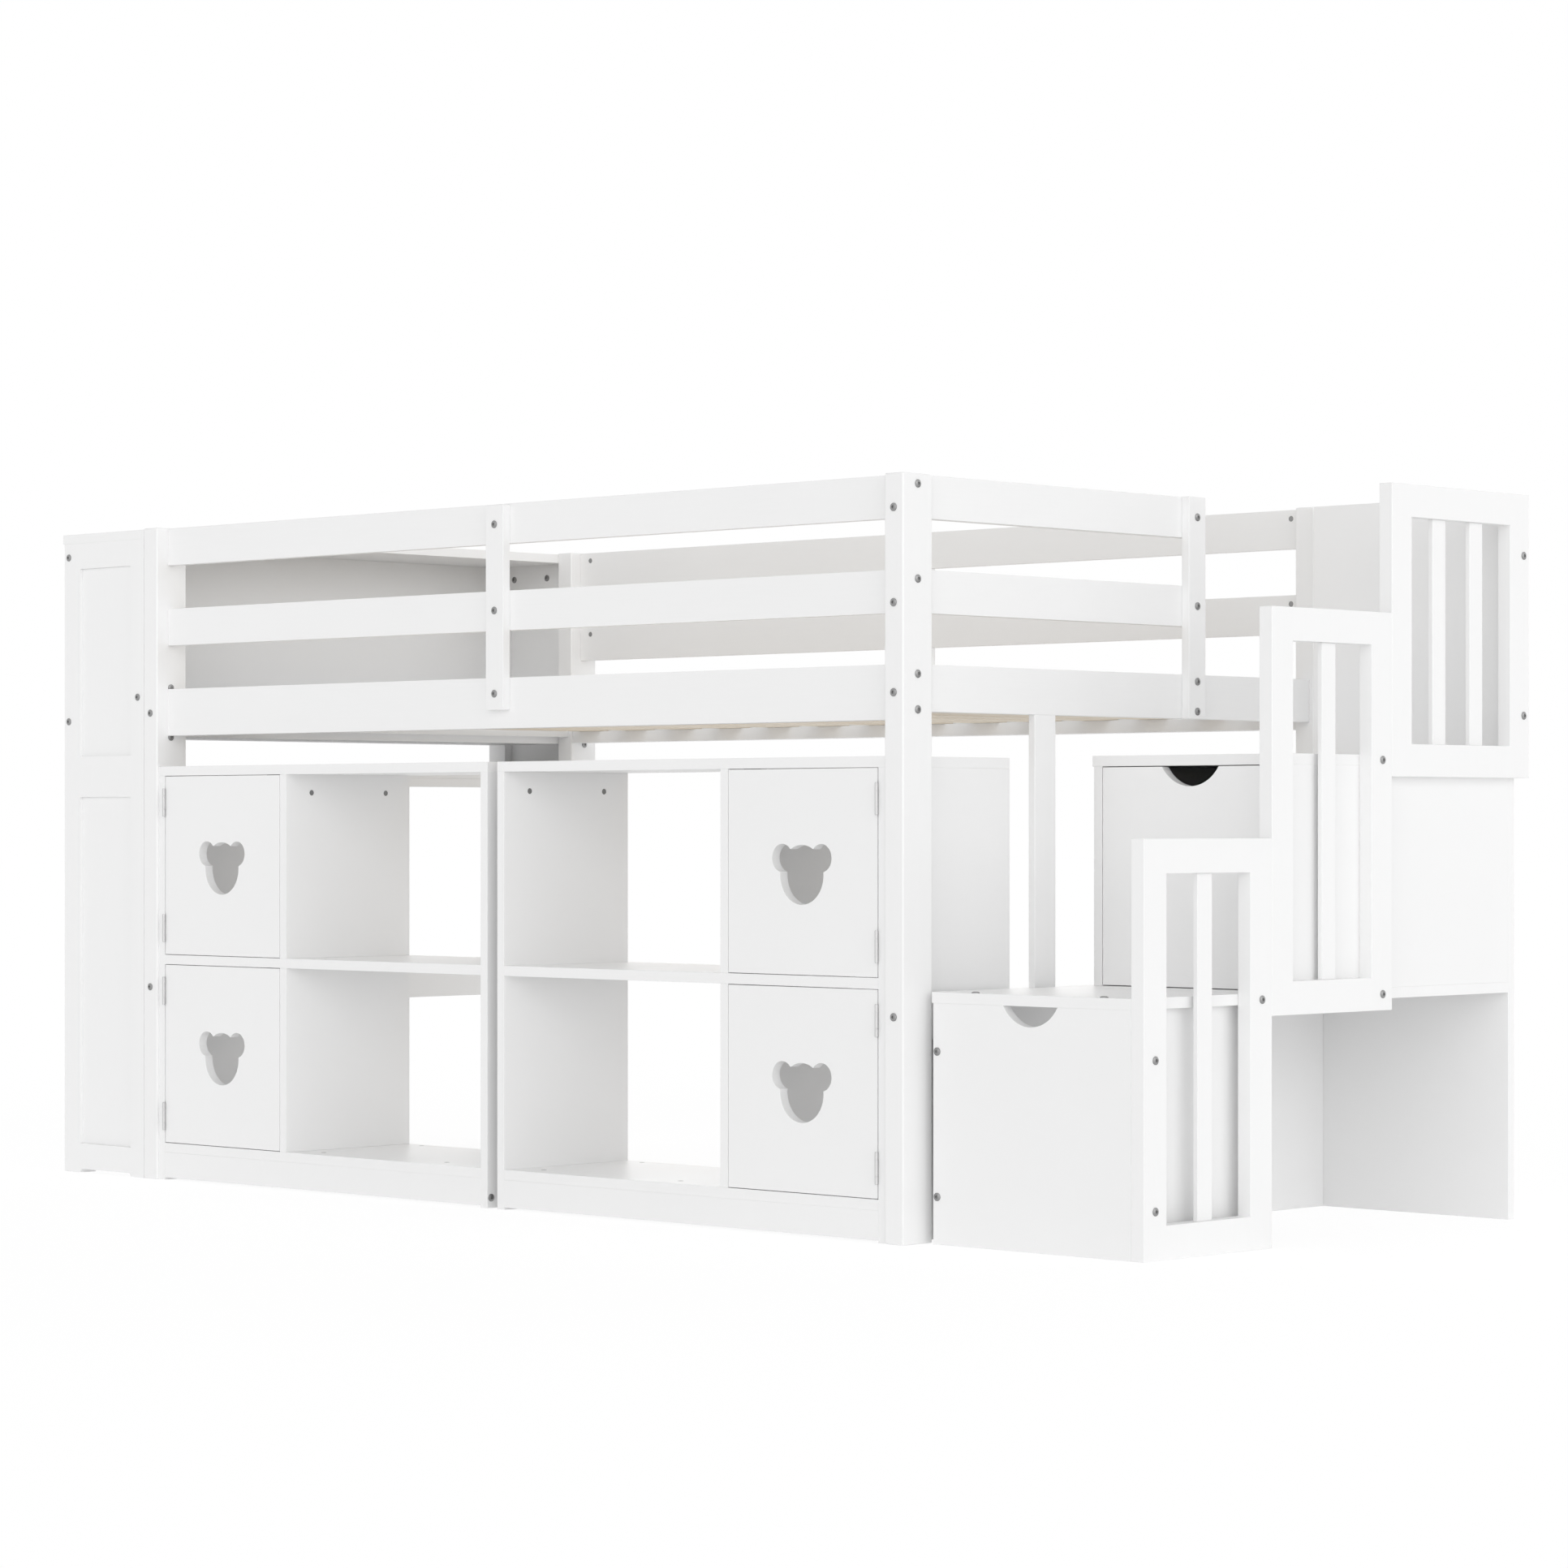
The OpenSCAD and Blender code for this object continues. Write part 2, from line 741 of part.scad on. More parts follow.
module hinge_case_leaves() {
    color(zinc) for (span = [lower_door, upper_door], z = hinge_starts(span)) {
        in_left_case() leaf(z, 0);
        in_left_case() hinge_pin(z);
        in_right_case() leaf(z, 0);
        in_right_case() hinge_pin(z);
    }
}

module door_leaves(span) { for (z = hinge_starts(span)) leaf(z, 1); }

module hinge_leaves_left_upper() { color(zinc) in_left_case() door_leaves(upper_door); }

module hinge_leaves_left_lower() { color(zinc) in_left_case() door_leaves(lower_door); }

module hinge_leaves_right_upper() { color(zinc) in_right_case() door_leaves(upper_door); }

module hinge_leaves_right_lower() { color(zinc) in_right_case() door_leaves(lower_door); }

// Magnetic catches under the board above each door, by its free edge
module door_catches() {
    catch = [40, 14, 12];
    catch_in = 60;
    x = divider_at - catch_in;
    y = case_y + board + 2 * fit;
    color(zinc) for (z = [shelf_low, case_top_z]) {
        in_left_case() translate([x, y, z - catch[2]]) cube(catch);
        in_right_case() translate([x, y, z - catch[2]]) cube(catch);
    }
}

// ---- Stairs ----

// A round-bottomed finger notch in the top edge of a panel
module notch(x, y, z, w) {
    r = (pow(w / 2, 2) + pow(notch_h, 2)) / (2 * notch_h);
    translate([x, y - overcut, z + r - notch_h]) rotate(to_back) cylinder(h = board + 2 * overcut, r = r);
}

module step_front() {
    color(white) translate(centre) difference() {
        slab([stair_x, stair_y, 0], [stair_x1, stair_y + board, tread_low]);
        notch(step_mid, stair_y, tread_low, step_notch_w);
        bolt_holes(step_bolts);
    }
}

module step_tread() {
    color(white) translate(centre) difference() {
        slab([stair_x - tread_lip, stair_y, tread_low], [stair_x1, landing_y, tread_z]);
        bolt_holes(concat(step_bolts, railing_bolts));
    }
}

module step_side_right() {
    color(white) translate(centre) difference() {
        slab([stair_x1 - cleat_t - board, stair_y + board, 0], [stair_x1 - cleat_t, railing_y1, tread_low]);
        bolt_holes(railing_bolts);
    }
}

module stair_wall_left() {
    color(white) translate(centre) difference() {
        slab([stair_x, stair_y + board, 0], [stair_x + board, panel_y, tread_low]);
        bolt_holes(concat(step_bolts, spacer_bolts));
    }
}

module landing_sides() {
    color(white) translate(centre) for (x = [stair_x, bay_x1])
        slab([x, landing_y, tread_z], [x + board, panel_y, landing_low]);
}

module landing_floor() {
    color(white) translate(centre) difference() {
        slab([stair_x, landing_y, tread_low], [stair_x1, panel_y, tread_z]);
        bolt_holes(railing_bolts);
    }
}

module landing_top() {
    color(white) translate(centre) difference() {
        slab([stair_x - tread_lip, landing_y, landing_low], [stair_x1, panel_y, landing_z]);
        bolt_holes(railing_bolts);
    }
}

module stair_back_panel() {
    color(white) translate(centre) difference() {
        slab([stair_x - tread_lip, panel_y, 0], [stair_x1, stair_back, post_h - 2]);
        bolt_holes(railing_bolts);
    }
}

// Spacers between the stretcher and the stair wall, and the batten that
// carries the lower railing frame
module stair_battens() {
    color(white) translate(centre) difference() {
        union() {
            for (y = spacer_ys)
                slab([end_face, y, spacer_z], [stair_x, y + spacer_w, spacer_z + spacer_w]);
            slab([stair_x1 - cleat_t, stair_y + board, 0], [stair_x1, stair_y + board + cleat_w, tread_low]);
        }
        bolt_holes(concat(spacer_bolts, railing_bolts));
    }
}

// A railing frame from y0 to y1, with rails at its foot and top
module railing_frame(y0, y1, z0, h) {
    color(white) translate(centre) difference() {
        slab([stair_x1, y0, z0], [railing_x1, y1, z0 + h]);
        slab([stair_x1 - overcut, y0 + stile_w, z0 + frame_rail_h],
             [railing_x1 + overcut, y1 - stile_w, z0 + h - frame_rail_h]);
        bolt_holes(railing_bolts);
    }
}

module railing_lower() { railing_frame(railing_y0, railing_y1, 0, railing_h); }

module railing_middle() { railing_frame(railing_y1, railing_y2, railing_mid_z, railing_h); }

module railing_upper() { railing_frame(railing_y2, railing_y3, railing_up_z, railing_up_h); }

// Slats spread evenly over the opening of a frame
module baffles(y0, y1, z0, h, count) {
    space = (y1 - y0 - 2 * stile_w - count * baffle_w) / (count + 1);
    for (i = [0 : count - 1]) {
        y = y0 + stile_w + space + i * (baffle_w + space);
        slab([baffle_x, y, z0 + frame_rail_h], [baffle_x + baffle_t, y + baffle_w, z0 + h - frame_rail_h]);
    }
}

module railing_slats() {
    color(white) translate(centre) {
        baffles(railing_y0, railing_y1, 0, railing_h, 1);
        baffles(railing_y1, railing_y2, railing_mid_z, railing_h, 1);
        baffles(railing_y2, railing_y3, railing_up_z, railing_up_h, 2);
    }
}

// ---- Drawer under the landing ----

module drawer_front() {
    color(white) translate(centre) difference() {
        slab([bay_x0 + drawer_gap, landing_y, drawer_z0],
             [bay_x1 - drawer_gap, landing_y + board, drawer_z1]);
        notch(step_mid, landing_y, drawer_z1, drawer_notch_w);
    }
}

module drawer_box() {
    y = landing_y + board;
    top = drawer_low + drawer_side_h;
    color(white) translate(centre) {
        for (x = [drawer_x0, drawer_x1 - drawer_t])
            slab([x, y, drawer_low], [x + drawer_t, drawer_back, top]);
        slab([drawer_x0 + drawer_t + fit, drawer_back - drawer_t, drawer_floor_z + drawer_bottom_t],
             [drawer_x1 - drawer_t - fit, drawer_back, top]);
    }
}

module drawer_bottom() {
    color(white) translate(centre)
        slab([drawer_x0 + drawer_t, landing_y + board, drawer_floor_z],
             [drawer_x1 - drawer_t, drawer_back, drawer_floor_z + drawer_bottom_t]);
}

// ---- Runners ----

// A runner channel along +Y, its back at x = 0 and its open side towards +X
module runner_channel(l) {
    difference() {
        cube([runner_lip, l, runner_h]);
        translate([runner_wall, -overcut, runner_wall])
            cube([runner_lip, l + 2 * overcut, runner_h - 2 * runner_wall]);
    }
}

// The bar that slides in the channel, its back on the drawer or desk
module runner_bar(l) {
    x = runner_wall + runner_fit;
    z = runner_wall + runner_fit;
    translate([x, 0, z]) cube([runner_t - x, l, runner_h - 2 * z]);
}

// Children are drawn on both sides of the drawer bay
module at_drawer_runners() {
    y = landing_y + board + runner_set;
    z = drawer_runner_z - runner_h / 2;
    translate([bay_x0, y, z]) children();
    translate([bay_x1, y, z]) mirror([1, 0, 0]) children();
}

// and on both sides of the desk
module at_desk_runners() {
    x = desk_x1 - runner_set;
    z = desk_low - runner_h / 2;
    translate([x, unit_t, z]) rotate([0, 0, 90]) children();
    translate([x, unit_far, z]) mirror([0, 1, 0]) rotate([0, 0, 90]) children();
}

drawer_runner_l = drawer_l - 10;
desk_runner_l = unit_w - 24;

module runner_rails() {
    color(zinc) translate(centre) {
        at_drawer_runners() runner_channel(drawer_runner_l);
        at_desk_runners() runner_channel(desk_runner_l);
    }
}

module drawer_slides() { color(zinc) translate(centre) at_drawer_runners() runner_bar(drawer_runner_l); }

// ---- End unit ----

// The low arch between the feet of a side panel, with quarter-round ends
module foot_arch() {
    slab([opening_x0 + foot_h, -overcut, -overcut], [opening_x1 - foot_h, unit_t + overcut, foot_h]);
    for (x = [opening_x0 + foot_h, opening_x1 - foot_h]) translate([x, -overcut, 0]) rotate(to_back)
        cylinder(h = unit_t + 2 * overcut, r = foot_h);
}

// A framed side panel on the front of the end unit
module unit_side() {
    z_holes = [
        [foot_rail_h, unit_mid_z],
        [unit_mid_z + unit_mid_h, unit_top_z - unit_rail_h]
    ];
    difference() {
        slab([unit_x0, 0, 0], [left_out, unit_t, unit_top_z]);
        for (z = z_holes) slab([opening_x0, -overcut, z[0]], [opening_x1, unit_t + overcut, z[1]]);
        foot_arch();
        bolt_holes([for (b = concat(end_bolts, unit_bolts)) if (b[0][1] < bed_w / 2) b]);
    }
}

module end_side_front() { color(white) translate(centre) unit_side(); }

module end_side_back() { color(white) translate(centre) to_back_half() unit_side(); }

module sunk_pair() {
    for (z = [[foot_rail_h, unit_mid_z], [unit_mid_z + unit_mid_h, unit_top_z - unit_rail_h]])
        slab([opening_x0, sunk_depth, z[0]], [opening_x1, sunk_depth + sunk_t, z[1]]);
}

module end_side_panels() {
    color(white) translate(centre) {
        sunk_pair();
        to_back_half() sunk_pair();
    }
}

module end_top() {
    color(white) translate(centre) slab([top_x0, 0, unit_top_z], [left_out, bed_w, unit_top_z + board]);
}

module niche_back() {
    color(white) translate(centre) difference() {
        slab([niche_x, unit_t, niche_z], [niche_x + board, unit_far, unit_top_z]);
        bolt_holes(end_bolts);
    }
}

module niche_floor() {
    color(white) translate(centre)
        slab([niche_x + board, unit_t, niche_z], [left_out, unit_far, niche_z + board]);
}

module niche_rail() {
    color(white) translate(centre) difference() {
        slab([niche_bar_x, unit_t, niche_bar_z], [niche_bar_x + board, unit_far, niche_bar_z + niche_bar_h]);
        bolt_holes(end_bolts);
    }
}

module desk_top() {
    color(white) translate(centre) slab([desk_x0, desk_y0, desk_low], [desk_x1, desk_y1, desk_z]);
}

module desk_apron() {
    color(white) translate(centre)
        slab([desk_x1 - board, desk_y0, desk_low - board], [desk_x1, desk_y1, desk_low]);
}

module desk_slides() { color(zinc) translate(centre) at_desk_runners() runner_bar(desk_runner_l); }

post_front_left();
post_front_right();
post_back_left();
post_back_right();
side_rails();
guard_rails_front();
guard_rails_back();
guard_rails_end();
end_rails();
balusters();
support_leg();
slat_ledgers();
bed_slats();
bolts();
case_sides();
case_dividers();
case_tops();
case_shelves();
case_bottoms();
case_plinths();
door_left_upper();
door_left_lower();
door_right_upper();
door_right_lower();
case_cams();
hinge_case_leaves();
hinge_leaves_left_upper();
hinge_leaves_left_lower();
hinge_leaves_right_upper();
hinge_leaves_right_lower();
door_catches();
step_front();
step_tread();
step_side_right();
stair_wall_left();
landing_sides();
landing_floor();
landing_top();
stair_back_panel();
drawer_front();
drawer_box();
drawer_bottom();
drawer_slides();
runner_rails();
railing_lower();
railing_middle();
railing_upper();
railing_slats();
stair_battens();
end_side_front();
end_side_back();
end_side_panels();
end_top();
niche_back();
niche_floor();
niche_rail();
desk_top();
desk_apron();
desk_slides();
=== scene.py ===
import json
import math

import bmesh
import bpy
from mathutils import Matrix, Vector


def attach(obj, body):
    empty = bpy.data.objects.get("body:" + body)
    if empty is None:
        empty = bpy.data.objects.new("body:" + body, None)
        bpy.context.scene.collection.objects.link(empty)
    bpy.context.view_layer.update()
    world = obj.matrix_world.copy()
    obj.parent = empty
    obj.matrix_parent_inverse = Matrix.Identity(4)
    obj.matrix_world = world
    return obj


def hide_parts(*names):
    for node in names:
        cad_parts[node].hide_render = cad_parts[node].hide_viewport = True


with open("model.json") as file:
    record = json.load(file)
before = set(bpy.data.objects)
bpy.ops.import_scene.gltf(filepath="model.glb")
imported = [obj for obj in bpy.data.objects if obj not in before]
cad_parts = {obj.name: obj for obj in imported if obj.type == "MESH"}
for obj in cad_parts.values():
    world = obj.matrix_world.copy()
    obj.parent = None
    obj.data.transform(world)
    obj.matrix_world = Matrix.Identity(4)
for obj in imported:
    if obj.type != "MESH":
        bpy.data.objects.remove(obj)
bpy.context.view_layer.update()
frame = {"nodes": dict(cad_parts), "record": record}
nodes = frame["nodes"]
mm = 0.001
plainWhite = [1.0, 1.0, 1.0, 1.0]


def toLinear(hexColour):  # sRGB hex to linear RGBA
    parts = [int(hexColour[i:i + 2], 16) / 255 for i in (1, 3, 5)]
    return [c / 12.92 if c <= 0.04045 else ((c + 0.055) / 1.055) ** 2.4 for c in parts] + [1.0]


def addNode(tree, kind, settings=None, links=None):  # a node, its settings and what feeds it
    node = tree.nodes.new(kind)
    for name, value in (settings or {}).items():
        if isinstance(name, int) or name in node.inputs:
            node.inputs[name].default_value = value
        else:
            setattr(node, name, value)
    for name, source in (links or {}).items():
        tree.links.new(source, node.inputs[name])
    return node


def newMaterial(name):
    material = bpy.data.materials.new(name)
    material.use_nodes = True
    material.node_tree.nodes.clear()
    return material, material.node_tree


paint = {
    "colour": "#f4f4f4",         # neutral white topcoat
    "thin": "#f0f0f0",           # the same coat where it lies thinner over hard grain
    "glossiest": 0.40,           # satin: lowest roughness
    "dullest": 0.52,             # and highest
    "ior": 1.48,                 # acrylic
    "grainSpacing": 3.2 * mm,    # late wood of fast-grown pine
    "grainStretch": 26,          # how much longer a grain line is than it is wide
    "grainDepth": 0.035 * mm,
    "stippleSize": 1.4 * mm,     # roller marks, drawn coarser than the real 0.5 mm to show
    "stippleDepth": 0.012 * mm,
    "cloudSize": 250 * mm,       # slow changes of the coat's thickness
}


def paintedPine(name, direction):
    # Satin white acrylic on planed pine: the grain just telegraphs through the coat,
    # with a fine roller stipple over it.
    material, tree = newMaterial(name)
    place = addNode(tree, "ShaderNodeTexCoord")
    across = 1 / paint["grainSpacing"]
    grainScale = [across, across, across]
    grainScale["xyz".index(direction)] = across / paint["grainStretch"]
    along = addNode(tree, "ShaderNodeMapping", {"Scale": grainScale},
                    {"Vector": place.outputs["Object"]})
    grain = addNode(tree, "ShaderNodeTexNoise", {"Scale": 1.0, "Detail": 3.0, "Roughness": 0.55},
                    {"Vector": along.outputs["Vector"]})
    stipple = addNode(tree, "ShaderNodeTexNoise",
                      {"Scale": 1 / paint["stippleSize"], "Detail": 1.0},
                      {"Vector": place.outputs["Object"]})
    cloud = addNode(tree, "ShaderNodeTexNoise", {"Scale": 1 / paint["cloudSize"], "Detail": 2.0},
                    {"Vector": place.outputs["Object"]})
    thinness = addNode(tree, "ShaderNodeMath", {"operation": "MULTIPLY"},
                       {0: grain.outputs["Fac"], 1: cloud.outputs["Fac"]})
    colour = addNode(tree, "ShaderNodeMix",
                     {"data_type": "RGBA", 6: toLinear(paint["colour"]),
                      7: toLinear(paint["thin"])},
                     {0: thinness.outputs[0]})
    fine = addNode(tree, "ShaderNodeBump", {"Strength": 1.0, "Distance": paint["stippleDepth"]},
                   {"Height": stipple.outputs["Fac"]})
    relief = addNode(tree, "ShaderNodeBump", {"Strength": 1.0, "Distance": paint["grainDepth"]},
                     {"Height": grain.outputs["Fac"], "Normal": fine.outputs["Normal"]})
    gloss = addNode(tree, "ShaderNodeMapRange",
                    {"To Min": paint["glossiest"], "To Max": paint["dullest"]},
                    {"Value": cloud.outputs["Fac"]})
    shader = addNode(tree, "ShaderNodeBsdfPrincipled", {"IOR": paint["ior"]},
                     {"Base Color": colour.outputs[2], "Roughness": gloss.outputs[0],
                      "Normal": relief.outputs["Normal"]})
    addNode(tree, "ShaderNodeOutputMaterial", {}, {"Surface": shader.outputs[0]})
    return material


board = {
    "colour": "#f4f4f4",
    "shade": "#f1f1f1",          # the darkest spots of the coat
    "glossiest": 0.38,           # a little smoother than the pine's coat
    "dullest": 0.48,
    "ior": 1.5,                  # lacquer
    "peelSize": 1.2 * mm,        # bumps of a sprayed coat
    "peelDepth": 0.015 * mm,
    "cloudSize": 1000 / 3 * mm,
}


def paintedBoard(name):
    # Sprayed satin white on fibreboard: no grain, only a shallow orange peel
    # and very slight clouds in the coat.
    material, tree = newMaterial(name)
    place = addNode(tree, "ShaderNodeTexCoord")
    peel = addNode(tree, "ShaderNodeTexNoise",
                   {"Scale": 1 / board["peelSize"], "Detail": 2.0, "Roughness": 0.4},
                   {"Vector": place.outputs["Object"]})
    cloud = addNode(tree, "ShaderNodeTexNoise", {"Scale": 1 / board["cloudSize"], "Detail": 3.0},
                    {"Vector": place.outputs["Object"]})
    colour = addNode(tree, "ShaderNodeMix",
                     {"data_type": "RGBA", 6: toLinear(board["colour"]),
                      7: toLinear(board["shade"])},
                     {0: cloud.outputs["Fac"]})
    relief = addNode(tree, "ShaderNodeBump", {"Strength": 1.0, "Distance": board["peelDepth"]},
                     {"Height": peel.outputs["Fac"]})
    gloss = addNode(tree, "ShaderNodeMapRange",
                    {"To Min": board["glossiest"], "To Max": board["dullest"]},
                    {"Value": cloud.outputs["Fac"]})
    shader = addNode(tree, "ShaderNodeBsdfPrincipled", {"IOR": board["ior"]},
                     {"Base Color": colour.outputs[2], "Roughness": gloss.outputs[0],
                      "Normal": relief.outputs["Normal"]})
    addNode(tree, "ShaderNodeOutputMaterial", {}, {"Surface": shader.outputs[0]})
    return material


pine = {
    "early": "#e8dfd1",          # pale early wood
    "late": "#d6c7b1",           # darker late wood lines
    "knot": "#94704f",
    "glossiest": 0.54,           # planed, without a coat
    "dullest": 0.70,
    "ior": 1.53,                 # wood
    "cell": 5.0 * mm,            # the growth pattern's unit, across the slat
    "stretch": 30,               # how much longer that unit is along the slat
    "lineScale": 0.16,           # growth lines in that unit: they come out about 10 mm apart
    "lineWander": 5.0,
    "lineSharpness": 2.2,        # thins the late wood lines
    "lineWeight": 0.5,           # lines against broad shading
    "broadScale": 0.35,          # broad shading, about three units across
    "palest": 0.3,               # where lines and shading sum to this the wood is all early
    "darkest": 1.2,              # and here all late
    "fibreWidth": 0.9 * mm,      # fibre streaks, drawn coarser than the real 0.2 mm to show
    "fibreStretch": 60,
    "fibreDepth": 0.08 * mm,
    "knotSpacing": 1000 / 4.5 * mm,  # scattered in space, so only a few fall in the slats
    "knotRim": 0.035,            # radius of a knot as a part of that spacing: 8 mm
    "knotHeart": 0.02,           # and of its dark middle: 4 mm
}


def rawPine(name):
    # Planed, unfinished pine: matt, with straight growth lines along the slat,
    # fine fibre streaks and a few small knots.
    material, tree = newMaterial(name)
    place = addNode(tree, "ShaderNodeTexCoord")
    cells = 1 / pine["cell"]
    along = addNode(tree, "ShaderNodeMapping",
                    {"Scale": [cells, cells / pine["stretch"], cells]},
                    {"Vector": place.outputs["Object"]})
    broad = addNode(tree, "ShaderNodeTexNoise", {"Scale": pine["broadScale"], "Detail": 2.0},
                    {"Vector": along.outputs["Vector"]})
    lines = addNode(tree, "ShaderNodeTexWave",
                    {"wave_type": "BANDS", "bands_direction": "X", "Scale": pine["lineScale"],
                     "Distortion": pine["lineWander"], "Detail": 2.0, "Detail Scale": 0.6},
                    {"Vector": along.outputs["Vector"]})
    streaks = 1 / pine["fibreWidth"]
    fibreWay = addNode(tree, "ShaderNodeMapping",
                       {"Scale": [streaks, streaks / pine["fibreStretch"], streaks]},
                       {"Vector": place.outputs["Object"]})
    fibre = addNode(tree, "ShaderNodeTexNoise", {"Scale": 1.0, "Detail": 3.0},
                    {"Vector": fibreWay.outputs["Vector"]})
    knots = addNode(tree, "ShaderNodeTexVoronoi",
                    {"Scale": 1 / pine["knotSpacing"], "Randomness": 1.0},
                    {"Vector": place.outputs["Object"]})
    knotMask = addNode(tree, "ShaderNodeMapRange",
                       {"From Min": pine["knotRim"], "From Max": pine["knotHeart"]},
                       {"Value": knots.outputs["Distance"]})
    lineMask = addNode(tree, "ShaderNodeMath", {"operation": "POWER", 1: pine["lineSharpness"]},
                       {0: lines.outputs["Fac"]})
    mixed = addNode(tree, "ShaderNodeMath", {"operation": "MULTIPLY_ADD", 1: pine["lineWeight"]},
                    {0: lineMask.outputs[0], 2: broad.outputs["Fac"]})
    share = addNode(tree, "ShaderNodeMapRange",
                    {"From Min": pine["palest"], "From Max": pine["darkest"]},
                    {"Value": mixed.outputs[0]})
    wood = addNode(tree, "ShaderNodeMix",
                   {"data_type": "RGBA", 6: toLinear(pine["early"]), 7: toLinear(pine["late"])},
                   {0: share.outputs[0]})
    knotted = addNode(tree, "ShaderNodeMix", {"data_type": "RGBA", 7: toLinear(pine["knot"])},
                      {0: knotMask.outputs[0], 6: wood.outputs[2]})
    relief = addNode(tree, "ShaderNodeBump", {"Strength": 1.0, "Distance": pine["fibreDepth"]},
                     {"Height": fibre.outputs["Fac"]})
    gloss = addNode(tree, "ShaderNodeMapRange",
                    {"To Min": pine["glossiest"], "To Max": pine["dullest"]},
                    {"Value": fibre.outputs["Fac"]})
    shader = addNode(tree, "ShaderNodeBsdfPrincipled", {"IOR": pine["ior"]},
                     {"Base Color": knotted.outputs[2], "Roughness": gloss.outputs[0],
                      "Normal": relief.outputs["Normal"]})
    addNode(tree, "ShaderNodeOutputMaterial", {}, {"Surface": shader.outputs[0]})
    return material


plating = {
    "glossier": 0.08,            # how far the crystals' roughness lies below the steel's own
    "duller": 0.10,              # and above it
    "depth": 0.01 * mm,
    "steels": {                  # colour, dull crystals, roughness, crystal size
        "dark_zinc_bolt_steel": ("#a4a4a4", "#8b8b8b", 0.42, 0.9 * mm),
        "dark_zinc_cam_steel": ("#8e8e8e", "#7a7a7a", 0.42, 0.9 * mm),
        "bright_zinc_hinge_steel": ("#d8d8d8", "#c6c6c6", 0.55, 1.2 * mm),
        "zinc_runner_steel": ("#bcbcbc", "#a7a7a7", 0.36, 2.0 * mm),
    },
}


def platedSteel(name):
    # Zinc-plated steel: a crystalline mottle, drawn coarser than the real few tenths
    # of a millimetre so that it shows, with the gloss broken up by it.
    colour, dull, roughness, crystal = plating["steels"][name]
    material, tree = newMaterial(name)
    place = addNode(tree, "ShaderNodeTexCoord")
    mottle = addNode(tree, "ShaderNodeTexNoise",
                     {"Scale": 1 / crystal, "Detail": 3.0, "Roughness": 0.6},
                     {"Vector": place.outputs["Object"]})
    tone = addNode(tree, "ShaderNodeMix",
                   {"data_type": "RGBA", 6: toLinear(colour), 7: toLinear(dull)},
                   {0: mottle.outputs["Fac"]})
    gloss = addNode(tree, "ShaderNodeMapRange",
                    {"To Min": roughness - plating["glossier"],
                     "To Max": roughness + plating["duller"]},
                    {"Value": mottle.outputs["Fac"]})
    relief = addNode(tree, "ShaderNodeBump", {"Strength": 1.0, "Distance": plating["depth"]},
                     {"Height": mottle.outputs["Fac"]})
    shader = addNode(tree, "ShaderNodeBsdfPrincipled", {"Metallic": 1.0},
                     {"Base Color": tone.outputs[2], "Roughness": gloss.outputs[0],
                      "Normal": relief.outputs["Normal"]})
    addNode(tree, "ShaderNodeOutputMaterial", {}, {"Surface": shader.outputs[0]})
    return material


pineX = paintedPine("satin_white_pine_along_x", "x")
pineY = paintedPine("satin_white_pine_along_y", "y")
pineZ = paintedPine("satin_white_pine_along_z", "z")
whiteBoard = paintedBoard("satin_white_fibreboard")
slatPine = rawPine("planed_pine")
boltSteel = platedSteel("dark_zinc_bolt_steel")
camSteel = platedSteel("dark_zinc_cam_steel")
hingeSteel = platedSteel("bright_zinc_hinge_steel")
runnerSteel = platedSteel("zinc_runner_steel")
print("materials ready")

behaviour = frame["record"]["behaviour"]
bodyOf = {name: body for body, members in behaviour["bodies"].items() for name in members}

edges = {
    "post": 2.5 * mm,            # routed post edges
    "rail": 1.0 * mm,            # rails, balusters and frames
    "board": 0.5 * mm,           # edge-sanded panels
    "slat": 1.5 * mm,
    "segments": 3,
    "smallest": 3.2 * mm,        # shorter edges are the rims of bolt holes and stay sharp
    "sharpFrom": 40,             # degrees between two faces
    "flatBelow": 0.5,            # degrees: such edges only part a flat face into triangles
    "mergeWithin": 0.01 * mm,
}


def softened(name, material, radius):  # a copy of a wooden node with its long edges rounded
    shape = bmesh.new()
    shape.from_mesh(nodes[name].data)
    bmesh.ops.remove_doubles(shape, verts=shape.verts, dist=edges["mergeWithin"])
    bmesh.ops.dissolve_limit(shape, angle_limit=math.radians(edges["flatBelow"]),
                             verts=shape.verts, edges=shape.edges)
    shape.normal_update()
    sharpAngle = math.radians(edges["sharpFrom"])
    sharp = [e for e in shape.edges if len(e.link_faces) == 2
             and e.calc_face_angle(0) > sharpAngle and e.calc_length() > edges["smallest"]]
    made = bmesh.ops.bevel(shape, geom=sharp, offset=radius, offset_type="OFFSET",
                           affect="EDGES", segments=edges["segments"], profile=0.5,
                           material=-1, clamp_overlap=True)
    for face in shape.faces:
        face.smooth = False
    for face in made["faces"]:
        face.smooth = True
    mesh = bpy.data.meshes.new(name + "_soft")
    shape.to_mesh(mesh)
    shape.free()
    mesh.materials.append(material)
    piece = bpy.data.objects.new(name + "_soft", mesh)
    bpy.context.scene.collection.objects.link(piece)
    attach(piece, bodyOf[name])
    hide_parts(name)


